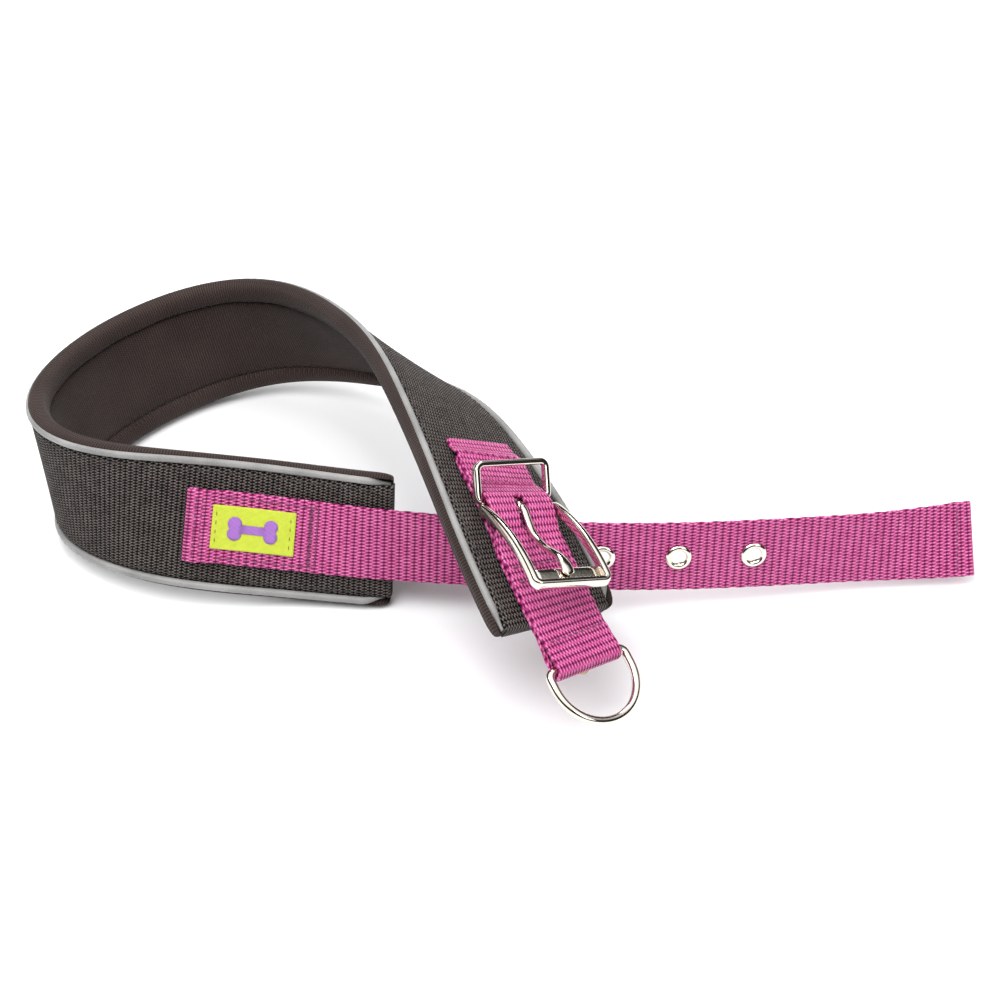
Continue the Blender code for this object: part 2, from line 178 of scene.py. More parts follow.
class Paint:
    """A material under construction."""

    def __init__(self, name, metallic=0.0, roughness=0.6, sheen=0.0, specular=0.5):
        self.material = bpy.data.materials.new(name)
        self.material.use_nodes = True
        self.tree = self.material.node_tree
        self.shader = self.tree.nodes["Principled BSDF"]
        self.shader.inputs["Metallic"].default_value = metallic
        self.shader.inputs["Roughness"].default_value = roughness
        self.shader.inputs["Specular IOR Level"].default_value = specular
        if sheen:
            self.shader.inputs["Sheen Weight"].default_value = sheen
            self.shader.inputs["Sheen Roughness"].default_value = 0.45

    def flat(self):
        """The piece's own flat numbers, in millimetres."""
        node = self.tree.nodes.new("ShaderNodeAttribute")
        node.attribute_name = "flat"
        split = self.tree.nodes.new("ShaderNodeSeparateXYZ")
        self.tree.links.new(node.outputs["Vector"], split.inputs[0])
        return [Value(self.tree, output) for output in split.outputs]

    def noise(self, scale, detail=3.0):
        """Noise from 0 to 1 over the object, its grains 1 / scale metres long."""
        where = self.tree.nodes.new("ShaderNodeTexCoord")
        node = self.tree.nodes.new("ShaderNodeTexNoise")
        node.inputs["Scale"].default_value = scale
        node.inputs["Detail"].default_value = detail
        self.tree.links.new(where.outputs["Object"], node.inputs["Vector"])
        return Value(self.tree, node.outputs["Fac"])

    def colours(self, value, *stops):
        """Colour from a value: (position, colour) stops."""
        node = self.tree.nodes.new("ShaderNodeValToRGB")
        ramp = node.color_ramp
        while len(ramp.elements) < len(stops):
            ramp.elements.new(0.5)
        for element, (position, colour) in zip(ramp.elements, stops):
            element.position = position
            element.color = colour
        self.tree.links.new(value.socket, node.inputs[0])
        self.tree.links.new(node.outputs[0], self.shader.inputs["Base Color"])
        return self

    def bump(self, height, depth):
        """Relief in metres from a height of 0 to 1."""
        node = self.tree.nodes.new("ShaderNodeBump")
        node.inputs["Distance"].default_value = depth
        self.tree.links.new(height.socket, node.inputs["Height"])
        self.tree.links.new(node.outputs[0], self.shader.inputs["Normal"])
        return self

    def roughness(self, value):
        self.tree.links.new(value.socket, self.shader.inputs["Roughness"])
        return self


def webbing_paint(name, rib, bead, painted_groove_shade, body, bright, relief, **look):
    """Ribs across a strap, each a row of yarn beads that step by half a bead from rib to rib. Its colour
    holds painted shade and highlights: dark in the grooves between ribs, light on the ridge and bead tops,
    with painted glints on the beads.
    """
    paint = Paint(name, **look)
    s, w, _ = paint.flat()
    along = s / (2 * rib)
    across = w / bead + s * (0.18 / rib)
    even = along.hump() * across.hump()
    odd = (along + 0.5).hump() * (across + 0.5).hump()
    ridge = (s / rib).hump()
    fine = paint.noise(9000.0, 1.0)
    wear = paint.noise(260.0, 2.0)
    beads = even.op("MAXIMUM", odd)
    height = beads * 0.5 + ridge ** 0.6 * 0.5
    # Painted highlight: bright glints on the bead tops, put into the colour.
    glint = beads ** 3.0 * paint.noise(1400.0, 1.0)
    tone = height * 1.1 + glint * 0.55 + fine * 0.3 + wear * 0.2 - 0.62
    # Painted shade and highlight: the first colour is shade in the grooves between ribs, the last a
    # highlight on the ridge and bead tops.
    paint.colours(tone, (0.08, painted_groove_shade), (0.5, body), (0.95, bright))
    return paint.bump(height + fine * 0.15, relief).material


def knit_paint(name, deep, body, bright):
    """Fine knit: wales across the band, broken into loops."""
    paint = Paint(name, roughness=0.92, sheen=0.1, specular=0.15)
    s, w, n = paint.flat()
    wale = (s / 0.95 + (w - n) * 0.06).hump()
    loops = ((w - n) / 0.8 + (s / 0.95).floor() * 0.5).hump()
    fine = paint.noise(6000.0, 2.0)
    patch = paint.noise(55.0, 2.0)
    height = wale * (loops * 0.5 + 0.5)
    tone = height * 0.55 + fine * 0.35 + patch * 0.3 - 0.1
    paint.colours(tone, (0.1, deep), (0.5, body), (0.95, bright))
    return paint.bump(height * 0.8 + fine * 0.3, 0.00022).material


def metal_paint(name, tint, edge, low, high):
    """Plated wire: a light tint, and polish that varies a little."""
    paint = Paint(name, metallic=1.0)
    cloud = paint.noise(220.0, 3.0)
    paint.colours(cloud, (0.3, tint), (0.75, edge))
    paint.roughness(cloud * (high - low) + low)
    return paint.bump(paint.noise(900.0, 2.0), 0.000012).material


def thread_paint(name, deep, bright):
    """Sewing thread, its colour broken by its ply."""
    paint = Paint(name, roughness=0.55, sheen=0.3)
    ply = paint.noise(4000.0, 1.0)
    return paint.colours(ply, (0.3, deep), (0.7, bright)).bump(ply, 0.00008).material


def make_paints():
    """Every material, by a short name."""
    paints = {}
    # In each webbing the first colour is painted shade in the grooves and the third a painted highlight on
    # the ridge and bead tops.
    paints["black"] = webbing_paint(
        "black_ribbed_webbing", BLACK_RIB, 1.05, linear(1, 1, 1), linear(15, 12, 12), linear(148, 137, 132),
        0.00080, roughness=0.6, specular=0.16,
    )
    paints["magenta"] = webbing_paint(
        "magenta_nylon_webbing", MAGENTA_RIB, 1.15, linear(84, 4, 52), linear(178, 38, 116),
        linear(250, 158, 210), 0.00078, roughness=0.42, specular=0.3,
    )
    paints["knit"] = knit_paint(
        "knit_neoprene", linear(22, 16, 15), linear(54, 43, 40), linear(84, 71, 67),
    )
    piping = Paint("reflective_piping", roughness=0.42, sheen=0.1)
    grain = piping.noise(5200.0, 1.0)
    soft = piping.noise(90.0, 2.0)
    piping.colours(grain * 0.5 + soft * 0.5, (0.3, linear(112, 111, 110)), (0.7, linear(162, 161, 160)))
    paints["piping"] = piping.bump(grain, 0.00008).material
    label = Paint("woven_label", roughness=0.6, sheen=0.2)
    s, w, _ = label.flat()
    twill = ((s + w * 0.5) / 0.5).hump() * (w / 0.42).hump()
    tone = twill * 0.6 + label.noise(500.0) * 0.4
    label.colours(tone, (0.1, linear(172, 190, 30)), (0.8, linear(218, 230, 64)))
    paints["label"] = label.bump(twill, 0.00010).material
    motif = Paint("motif_thread", roughness=0.5, sheen=0.3)
    s, w, _ = motif.flat()
    satin = ((s * 0.35 + w) / 0.45).hump()
    tone = satin * 0.7 + motif.noise(900.0) * 0.3
    motif.colours(tone, (0.1, linear(112, 62, 150)), (0.8, linear(172, 112, 204)))
    paints["motif"] = motif.bump(satin, 0.00012).material
    paints["thread"] = thread_paint("magenta_thread", linear(128, 28, 88), linear(226, 100, 168))
    paints["dark_thread"] = thread_paint("mauve_thread", linear(70, 24, 54), linear(150, 66, 112))
    paints["black_thread"] = thread_paint("black_thread", linear(10, 9, 9), linear(52, 48, 47))
    paints["olive_thread"] = thread_paint("olive_thread", linear(60, 60, 14), linear(140, 146, 34))
    paints["nickel"] = metal_paint(
        "polished_nickel", linear(232, 225, 215), linear(214, 205, 192), 0.05, 0.14,
    )
    paints["brass"] = metal_paint("dull_brass", linear(200, 186, 150), linear(172, 154, 112), 0.24, 0.4)
    return paints


# --- meshes -----------------------------------------------------------------------------------


def make_object(name, mesh, material, body, nodes=()):
    mesh.materials.append(material)
    obj = bpy.data.objects.new(name, mesh)
    bpy.context.scene.collection.objects.link(obj)
    if nodes:
        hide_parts(*nodes)
    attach(obj, body)
    return obj


def tidy(mesh):
    """Faces turned outwards and shaded smooth, except the flat caps."""
    bm = bmesh.new()
    bm.from_mesh(mesh)
    bmesh.ops.recalc_face_normals(bm, faces=bm.faces)
    if bm.calc_volume(signed=True) < 0:
        bmesh.ops.reverse_faces(bm, faces=bm.faces)
    for face in bm.faces:
        face.smooth = len(face.verts) < 9
    bm.to_mesh(mesh)
    bm.free()


def ring_mesh(name, rings, closed=False):
    """A mesh through equal rings of points, an array of (ring, point, 3), with a cap on open ends."""
    count, size = rings.shape[:2]
    index = np.arange(count * size).reshape(count, size)
    following = np.roll(index, -1, axis=1)
    last = count if closed else count - 1
    upper = np.roll(index, -1, axis=0)[:last]
    upper_next = np.roll(following, -1, axis=0)[:last]
    quads = np.stack([index[:last], following[:last], upper_next, upper], axis=-1).reshape(-1, 4)
    faces = quads.tolist()
    if not closed:
        faces += [index[0].tolist(), index[-1].tolist()]
    mesh = bpy.data.meshes.new(name)
    mesh.from_pydata(rings.reshape(-1, 3).tolist(), [], faces)
    return mesh


def store_flat(mesh, flat):
    attribute = mesh.attributes.new("flat", "FLOAT_VECTOR", "POINT")
    attribute.data.foreach_set("vector", np.asarray(flat, np.float32).ravel())


def coordinates(mesh):
    co = np.empty(len(mesh.vertices) * 3, np.float32)
    mesh.vertices.foreach_get("co", co)
    return co.reshape(-1, 3).astype(float)


def move_points(mesh, co):
    mesh.vertices.foreach_set("co", np.asarray(co, np.float32).ravel())
    mesh.update()


def sewn(name, rings):
    """A wrapped mesh from flat rings."""
    mesh = ring_mesh(name, rings)
    flat = rings.reshape(-1, 3)
    store_flat(mesh, flat)
    move_points(mesh, wrap(flat))
    tidy(mesh)
    return mesh


def tube_rings(points, across, half_a, half_b, sides, square=2.0):
    """Rings of a bar along points. across is its second axis; square above 2 flattens its sides."""
    points = np.asarray(points, float)
    ahead = np.gradient(points, axis=0)
    ahead /= np.linalg.norm(ahead, axis=1)[:, None]
    side = np.cross(ahead, np.broadcast_to(across, ahead.shape))
    side /= np.linalg.norm(side, axis=1)[:, None]
    up = np.cross(side, ahead)
    angle = 2 * np.pi * (np.arange(sides) + 0.5) / sides
    cos, sin = np.cos(angle), np.sin(angle)
    ca = np.sign(cos) * np.abs(cos) ** (2 / square)
    sa = np.sign(sin) * np.abs(sin) ** (2 / square)
    half_a = np.broadcast_to(half_a, len(points))[:, None, None]
    half_b = np.broadcast_to(half_b, len(points))[:, None, None]
    return points[:, None] + side[:, None] * ca[:, None] * half_a + up[:, None] * sa[:, None] * half_b


def loop_rings(points, across, half_a, half_b, sides, square=2.0):
    """tube_rings for a closed loop."""
    points = np.asarray(points, float)
    longer = np.concatenate([points[-2:], points, points[:2]])
    return tube_rings(longer, across, half_a, half_b, sides, square)[2:-2]


def merge(name, meshes):
    """Several meshes in millimetres as one in metres."""
    bm = bmesh.new()
    for mesh in meshes:
        bm.from_mesh(mesh)
        bpy.data.meshes.remove(mesh)
    bmesh.ops.scale(bm, vec=(0.001, 0.001, 0.001), verts=bm.verts)
    result = bpy.data.meshes.new(name)
    bm.to_mesh(result)
    bm.free()
    tidy(result)
    return result


def smooth_line(points, step=0.5):
    """A smooth curve through the points, sampled evenly."""
    points = np.asarray(points, float)
    ends = np.concatenate([[2 * points[0] - points[1]], points, [2 * points[-1] - points[-2]]])
    rows = []
    for a, b, c, d in zip(ends, ends[1:], ends[2:], ends[3:]):
        for t in np.linspace(0, 1, 12, endpoint=False):
            rows.append(0.5 * (2 * b + (c - a) * t + (2 * a - 5 * b + 4 * c - d) * t**2
                               + (3 * b - a - 3 * c + d) * t**3))
    rows = np.array([*rows, points[-1]])
    length = np.concatenate([[0], np.cumsum(np.linalg.norm(np.diff(rows, axis=0), axis=1))])
    marks = np.linspace(0, length[-1], max(2, round(length[-1] / step) + 1))
    return np.stack([np.interp(marks, length, rows[:, k]) for k in range(rows.shape[1])], axis=1)


# --- straps -----------------------------------------------------------------------------------

STRAP_WIDTH = 25.0
STRAP_THICKNESS = 1.4
SELVEDGE = 0.5
HOLE_AT = (-70.5, -95.5, -120.5)
START_SKEW, KEEPER_SKEW, FOLD_SKEW = 0.13, 0.06, 0.09


class Route:
    """A strap's middle line, (s, n), from one cut end to the other. Its outer side is on the left."""

    def __init__(self, points, soften):
        points = np.asarray(points, float)
        length = np.concatenate([[0], np.cumsum(np.linalg.norm(np.diff(points, axis=0), axis=1))])
        marks = np.arange(0, length[-1], 0.1)
        line = np.stack([np.interp(marks, length, points[:, k]) for k in range(2)], axis=1)
        reach = int(soften / 0.2)
        width = 2 * reach + 1
        padded = np.concatenate([np.repeat(line[:1], reach, 0), line, np.repeat(line[-1:], reach, 0)])
        even = np.ones(width) / width
        self.line = np.stack([np.convolve(padded[:, k], even, "valid") for k in range(2)], axis=1)
        steps = np.linalg.norm(np.diff(self.line, axis=0), axis=1)
        self.marks = np.concatenate([[0], np.cumsum(steps)])
        self.length = self.marks[-1]
        ahead = np.gradient(self.line, axis=0)
        self.ahead = ahead / np.linalg.norm(ahead, axis=1)[:, None]

    def lay(self, a, w, t):
        """(s, w, n) of points a along the strap, w across it and t off its middle."""
        s, n = (np.interp(a, self.marks, self.line[:, k]) for k in range(2))
        ahead_s, ahead_n = (np.interp(a, self.marks, self.ahead[:, k]) for k in range(2))
        return np.stack([s - ahead_n * t, np.broadcast_to(w, s.shape), n + ahead_s * t], axis=1)

    def top(self, s):
        """How far along the strap its outermost layer passes s."""
        near = np.abs(self.line[:, 0] - s) < 0.12
        return float(self.marks[near][np.argmax(self.line[near, 1])])


def strap_slab(length, half_w, half_t, rib):
    """A strap laid flat: (a, w, t) rings with raised ribs and a selvedge that swells at each rib."""
    a = np.linspace(0, length, int(length / rib * 5) + 1)
    ridge = np.abs(np.sin(np.pi * a / rib)) ** 0.7
    face = np.linspace(-1, 1, 27) * (half_w - SELVEDGE)
    edge = np.radians([60, 20, -20, -60])
    turn = half_w - SELVEDGE + SELVEDGE * np.cos(edge)
    level = np.full(len(face), half_t)
    w = np.concatenate([face, turn, -face, -turn])
    t = np.concatenate([level, half_t * np.sin(edge), -level, -half_t * np.sin(edge)])
    swell = 1 + 0.022 * (np.abs(np.sin(np.pi * a / (2 * rib)))[:, None] - 0.6)
    thick = 1 - 0.12 * (1 - ridge[:, None])
    rings = np.empty((len(a), len(w), 3))
    rings[:, :, 0] = a[:, None]
    rings[:, :, 1] = w * swell
    rings[:, :, 2] = t * thick
    return ring_mesh("slab", rings)


def cut(mesh, cutters):
    """The flat mesh with each closed cutter mesh taken out of it."""
    link = bpy.context.scene.collection.objects.link
    base = bpy.data.objects.new("base", mesh)
    link(base)
    tidy(mesh)
    tools = []
    for cutter in cutters:
        tidy(cutter)
        tool = bpy.data.objects.new("tool", cutter)
        link(tool)
        tools.append(tool)
        modifier = base.modifiers.new("cut", "BOOLEAN")
        modifier.operation = "DIFFERENCE"
        modifier.solver = "EXACT"
        modifier.object = tool
    graph = bpy.context.evaluated_depsgraph_get()
    result = bpy.data.meshes.new_from_object(base.evaluated_get(graph))
    for obj in (base, *tools):
        bpy.data.objects.remove(obj)
    return result


def pin(a, w, radius, stretch=0.0):
    """An upright round or slotted cutter in flat space."""
    angle = 2 * np.pi * (np.arange(32) + 0.5) / 32
    x = a + radius * np.cos(angle) + np.sign(np.cos(angle)) * stretch / 2
    y = w + radius * np.sin(angle)
    return ring_mesh("pin", np.array([np.stack([x, y, np.full(32, z)], 1) for z in (-3.0, 3.0)]))


def gather(flat):
    """The buckle strap is drawn in at the keeper and the frame, and both its ends are a little askew."""
    s, w, n = flat.T
    share = np.clip((15.0 - np.abs(s - 403.0)) / 6.0, 0.0, 1.0)
    start = np.clip((380.0 - s) / 10.0, 0.0, 1.0) * START_SKEW
    fold = np.clip((s - 432.0) / 16.0, 0.0, 1.0) * FOLD_SKEW
    return np.stack([s + (start + fold) * w, w * (1 - 0.065 * share), n], axis=1)


def as_laid(flat):
    return flat


def lay_strap(name, route, holes, paint, nodes, shape=as_laid):
    """A strap along its route, with holes of (s, radius, stretch) through its outermost layer."""
    slab = strap_slab(route.length, STRAP_WIDTH / 2, STRAP_THICKNESS / 2, MAGENTA_RIB)
    mesh = cut(slab, [pin(route.top(s), 0, radius, stretch) for s, radius, stretch in holes])
    co = coordinates(mesh)
    store_flat(mesh, co)
    move_points(mesh, wrap(shape(route.lay(co[:, 0], co[:, 1], co[:, 2]))))
    tidy(mesh)
    return make_object(name, mesh, paint, "collar", nodes)


def stitches(name, marks, radius, paint, shape=as_laid):
    """Sewing stitches: each mark is a start and an end in flat numbers. They arch out of the cloth."""
    sides, rows = 6, 7
    meshes, flats = [], []
    for start, end in marks:
        start, end = np.array(start, float), np.array(end, float)
        share = np.linspace(0, 1, rows)
        line = start + (end - start) * share[:, None]
        line[:, 2] += radius * (1.9 * np.sin(np.pi * share) - 0.9)
        size = radius * (0.55 + 0.45 * np.sin(np.pi * share))
        rings = tube_rings(line, (0, 0, 1.0), size, size, sides)
        meshes.append(ring_mesh("stitch", rings))
        flats.append(rings.reshape(-1, 3))
    bm = bmesh.new()
    for mesh in meshes:
        bm.from_mesh(mesh)
        bpy.data.meshes.remove(mesh)
    mesh = bpy.data.meshes.new(name)
    bm.to_mesh(mesh)
    bm.free()
    flat = np.concatenate(flats)
    store_flat(mesh, flat)
    move_points(mesh, wrap(shape(flat)))
    tidy(mesh)
    return make_object(name, mesh, paint, "collar")


def row(start, end, pitch=2.9, fill=0.72):
    """Stitches along a straight line between two flat points."""
    start, end = np.array(start, float), np.array(end, float)
    count = max(1, round(np.linalg.norm(end - start) / pitch))
    step = (end - start) / count
    near, far = (1 - fill) / 2, (1 + fill) / 2
    return [(start + step * (k + near), start + step * (k + far)) for k in range(count)]


def zigzag(s, n, half_s, half_w, count):
    """A dense row of slanting stitches across a strap."""
    ws = np.linspace(-half_w, half_w, count + 1)
    marks = []
    for k in range(count):
        side = half_s if k % 2 else -half_s
        marks.append(((s - side, ws[k], n), (s + side, ws[k + 1], n)))
    return marks


# --- the padded band --------------------------------------------------------------------------


def arc(centre, radius, start, end, count):
    angle = np.radians(np.linspace(start, end, count))
    return np.stack([centre[0] + radius * np.cos(angle), centre[1] + radius * np.sin(angle)], axis=1)


def build_webbing(paints):
    """The band's ribbed outer face, sewn down along its edges."""
    half, across = 20.0, 45
    s = np.linspace(-0.2, BAND_LENGTH + 0.2, int(BAND_LENGTH / BLACK_RIB * 4) + 1)
    ridge = np.abs(np.sin(np.pi * s / BLACK_RIB)) ** 0.8
    w = np.linspace(-half, half, across)
    fall = np.clip((np.abs(w) - 17.6) / 2.4, 0, 1) ** 2
    under = np.linspace(half, -half, 5)
    rings = np.empty((len(s), across + len(under), 3))
    rings[:, :, 0] = s[:, None]
    rings[:, :across, 1] = w
    rings[:, :across, 2] = 0.36 + 0.34 * ridge[:, None] - 0.75 * fall
    rings[:, across:, 1] = under
    rings[:, across:, 2] = -0.6
    make_object("webbing_face", sewn("webbing_face", rings), paints["black"], "collar",
                ("outer_webbing",))
    marks = []
    for side in (-1, 1):
        marks += row((4, side * 18.2, 0.42), (BAND_LENGTH - 4, side * 18.2, 0.42), STITCH_PITCH, 0.8)
    stitches("band_stitches", marks, 0.24, paints["black_thread"])


def build_piping(paints):
    """Light piping along both edges. It sinks and narrows where it is sewn in at each end."""
    sides, past, radius = 16, 0.8, 1.26
    angle = 2 * np.pi * (np.arange(sides) + 0.5) / sides
    for name, side in (("upper", 1), ("lower", -1)):
        s = np.concatenate([np.linspace(-0.6, 8, 18), np.arange(10, BAND_LENGTH - 9, 1.5),
                            np.linspace(BAND_LENGTH - 8, BAND_LENGTH + 0.6, 18)])
        inside = np.clip(np.minimum(s + past, BAND_LENGTH + past - s) / 8.0, 0, 1)
        ease = inside * inside * (3 - 2 * inside)
        size = 0.45 + 0.55 * ease
        ripple = 0.05 * np.sin(2 * np.pi * s / STITCH_PITCH)
        rings = np.empty((len(s), sides, 3))
        rings[:, :, 0] = s[:, None]
        centre_w = 21.3 - 1.3 * (1 - ease) + ripple * 0.6
        rings[:, :, 1] = side * (centre_w[:, None] + radius * size[:, None] * np.cos(angle))
        rings[:, :, 2] = 0.15 - 2.2 * (1 - ease)[:, None] + (1.25 * size + ripple)[:, None] * np.sin(angle)
        make_object(f"reflective_piping_{name}", sewn("piping", rings), paints["piping"], "collar",
                    (f"piping_{name}",))


def rim_outline():
    """The rolled edge's outline, (w, n): out beside the piping, round, and down to the lining's seam."""
    outer = arc((20.6, -1.7), 2.85, 46, -20, 8)
    under = smooth_line([
        (23.25, -2.9), (22.85, -4.5), (21.5, -5.65), (19.4, -6.1), (17.4, -5.8), (16.3, -4.8), (15.9, -3.7),
    ], 0.6)
    back = np.array([(17.5, -3.0), (20.4, -3.0), (21.4, -2.3), (21.9, -1.3)])
    return np.concatenate([outer, under, back])


def build_rims(paints):
    """The knit edges: full along the band, drawn in at its ends, puckered along the lining's seam."""
    past = 1.2
    outline = rim_outline()
    middle = outline.mean(axis=0)
    s = np.concatenate([[-past, -0.9, -0.2, 0.9], np.arange(2, BAND_LENGTH - 1, 1.7),
                        BAND_LENGTH + np.array([-0.9, 0.2, 0.9, past])])
    inside = np.clip(np.minimum(s + past, BAND_LENGTH + past - s) / 5.5, 0, 1)
    size = 0.5 + 0.5 * np.sqrt(1 - (1 - inside) ** 2)
    pull = 0.10 * np.sin(2 * np.pi * s / STITCH_PITCH) + 0.10 * np.sin(2 * np.pi * s / 23 + 1)
    for name, side in (("upper", 1), ("lower", -1)):
        rings = np.empty((len(s), len(outline), 3))
        rings[:, :, 0] = s[:, None]
        near_seam = np.exp(-((outline[:, 0] - 16.4) / 2.0) ** 2)
        shape = middle + (outline - middle) * size[:, None, None]
        rings[:, :, 1] = side * (shape[:, :, 0] + 0.4 * pull[:, None] * near_seam)
        rings[:, :, 2] = shape[:, :, 1] + pull[:, None] * near_seam
        rim = make_object(f"rolled_rim_{name}", sewn("rim", rings), paints["knit"], "collar",
                          (f"knit_rim_{name}",))


def build_lining(paints):
    """The padded lining between the rims: a shallow crown that dives into a seam on each side."""
    s = np.concatenate([[-0.4], np.arange(0.5, BAND_LENGTH, 1.7), [BAND_LENGTH + 0.4]])
    half, across = 15.75, 33
    w = np.linspace(-half, half, across)
    share = np.abs(w) / half
    crown = 4.15 + 0.85 * (1 - share**5)
    soft = 0.10 * np.sin(2 * np.pi * s / 31)[:, None] * (1 - share**2)
    tug = 0.12 * np.sin(2 * np.pi * s / STITCH_PITCH)[:, None] * share**10
    back = np.linspace(15.4, -15.4, 5)
    rings = np.empty((len(s), across + len(back), 3))
    rings[:, :, 0] = s[:, None]
    rings[:, :across, 1] = w
    rings[:, :across, 2] = -(crown + soft + tug)
    rings[:, across:, 1] = back
    rings[:, across:, 2] = -2.9
    lining = make_object("lining", sewn("lining", rings), paints["knit"], "collar",
                         ("inner_panel", "foam_pad"))


def build_bindings(paints):
    """The webbing turned round each end of the band and sewn down inside."""
    outer = smooth_line([
        (-1.0, 0.45), (0.6, 0.45), (1.5, -0.2), (1.75, -1.6), (1.7, -4.2), (1.3, -5.6), (0.2, -6.15),
        (-3.0, -6.1), (-6.0, -5.9),
    ], 0.4)
    inner = smooth_line([
        (-6.0, -5.3), (-3.0, -5.35), (0.1, -5.3), (0.55, -4.6), (0.5, -2.0), (0.45, -0.6), (-0.2, -0.05),
        (-1.0, -0.1),
    ], 0.5)
    outline = np.concatenate([outer, inner])
    w = np.linspace(-1, 1, 41)
    half = 19.6 - 4.6 * np.clip((-outline[:, 1] - 4.8) / 0.8, 0, 1)
    for name, end, way in (("label", 0.0, -1), ("buckle", BAND_LENGTH, 1)):
        rings = np.empty((len(w), len(outline), 3))
        rings[:, :, 0] = end + way * outline[:, 0]
        rings[:, :, 1] = w[:, None] * half
        rings[:, :, 2] = outline[:, 1]
        make_object(f"end_turn_{name}", sewn("binding", rings), paints["black"], "collar",
                    (f"end_binding_{name}",))
        marks = row((end - way * 4.6, -13, -6.05), (end - way * 4.6, 13, -6.05), 3.0, 0.75)
        stitches(f"end_stitches_{name}", marks, 0.25, paints["black_thread"])


# --- the label end and the tail ---------------------------------------------------------------


def tail_route():
    under_tip = [(-188.0, 0.3), (-195.2, 0.3)]
    tip_fold = arc((-195.2, 1.0), 0.72, -90, -270, 9)
    label_fold = arc((65.2, 2.45), 0.7, 90, -90, 9)
    upper = [(-188, 1.7), (54, 1.7), (56.5, 1.72), (59.5, 3.0), (61, 3.15), (64, 3.15)]
    return Route([*under_tip, *tip_fold, *upper, *label_fold, (60.6, 1.75)], 0.6)


def build_tail(paints):
    route = tail_route()
    lay_strap("free_strap", route, [(s, 3.1, 0.0) for s in HOLE_AT], paints["magenta"],
              ("tail_strap",))
    top, step = 2.42, 3.85
    marks = row((23, -10.4, top), (56, -10.4, top)) + row((56, 10.4, top), (23, 10.4, top))
    for s in (61.4, 63.4):
        marks += row((s, -10.6, step), (s, 10.6, step), 2.6)
    marks += row((23.0, -10.4, top), (23.0, 10.4, top), 2.4)
    stitches("box_stitches", marks, 0.26, paints["dark_thread"])
    stitches("bar_tack", zigzag(25.2, top, 0.9, 10.2, 26), 0.2, paints["dark_thread"])
    stitches("tip_stitches", row((-190.6, -11, top), (-190.6, 11, top), 2.4), 0.3, paints["dark_thread"])


def build_label(paints):
    """The woven label: a thin cloth, its ends turned under, with a plain bone worked on it."""
    low, high, half, base, thick = 30.2, 58.2, 7.5, 2.52, 0.42
    across = 31
    s = np.linspace(low, high, 60)
    w = np.concatenate([np.linspace(-half, half, across), np.linspace(half, -half, 9)])
    edge = np.clip(np.minimum(s - low, high - s) / 1.1, 0, 1)
    ease = np.sqrt(1 - (1 - edge) ** 2)
    rings = np.empty((len(s), len(w), 3))
    rings[:, :, 0] = s[:, None]
    rings[:, :, 1] = w + 0.3
    rings[:, :across, 2] = base + thick * (0.45 + 0.55 * ease)[:, None] + 0.12
    rings[:, across:, 2] = base
    label = make_object("woven_label", sewn("label", rings), paints["label"], "collar",
                        ("label_patch",))
    face = base + thick + 0.12
    marks = []
    for at in (low + 1.7, high - 1.7):
        marks += row((at, -5.8, face), (at, 6.4, face), 3.0, 0.5)
    stitches("label_stitches", marks, 0.16, paints["olive_thread"])


def bone_mesh(centre, face, thick):
    """A plain bone: four round lobes and a shaft, joined, laid on the label."""
    link = bpy.context.scene.collection.objects.link
    parts = []
    sides = 28
    for x in (-6.0, 6.0):
        for y in (-1.7, 1.7):
            ring = arc((centre + x, 0.3 + y), 2.35, 0, 360 - 360 / sides, sides)
            rings = np.array([np.column_stack([ring, np.full(sides, z)]) for z in (face, face + thick)])
            parts.append(ring_mesh("lobe", rings))
    shaft = np.array([(-6.3, -1.45), (6.3, -1.45), (6.3, 1.45), (-6.3, 1.45)]) + (centre, 0.3)
    levels = (face + 0.003, face + thick - 0.003)
    rings = np.array([np.column_stack([shaft, np.full(4, z)]) for z in levels])
    parts.append(ring_mesh("shaft", rings))
    for mesh in parts:
        tidy(mesh)
    base, *others = [bpy.data.objects.new("bone", mesh) for mesh in parts]
    for obj in (base, *others):
        link(obj)
    for other in others:
        modifier = base.modifiers.new("join", "BOOLEAN")
        modifier.operation = "UNION"
        modifier.solver = "EXACT"
        modifier.object = other
    graph = bpy.context.evaluated_depsgraph_get()
    result = bpy.data.meshes.new_from_object(base.evaluated_get(graph))
    for obj in (base, *others):
        bpy.data.objects.remove(obj)
    return result


def build_motif(paints):
    """The bone on the label, its faces small enough to follow the label's bend."""
    mesh = bone_mesh(44.3, 3.0, 0.28)
    bm = bmesh.new()
    bm.from_mesh(mesh)
    bmesh.ops.triangulate(bm, faces=bm.faces)
    bmesh.ops.subdivide_edges(bm, edges=[e for e in bm.edges if e.calc_length() > 2.5], cuts=2)
    bm.to_mesh(mesh)
    bm.free()
    co = coordinates(mesh)
    store_flat(mesh, co)
    move_points(mesh, wrap(co))
    tidy(mesh)
    make_object("label_motif", mesh, paints["motif"], "collar")


def revolved(name, profile, sides=64):
    angle = 2 * np.pi * np.arange(sides) / sides
    profile = np.asarray(profile, float)
    rings = np.stack([np.outer(np.cos(angle), profile[:, 0]), np.outer(np.sin(angle), profile[:, 0]),
                      np.tile(profile[:, 1], (sides, 1))], axis=2)
    return ring_mesh(name, rings, closed=True)


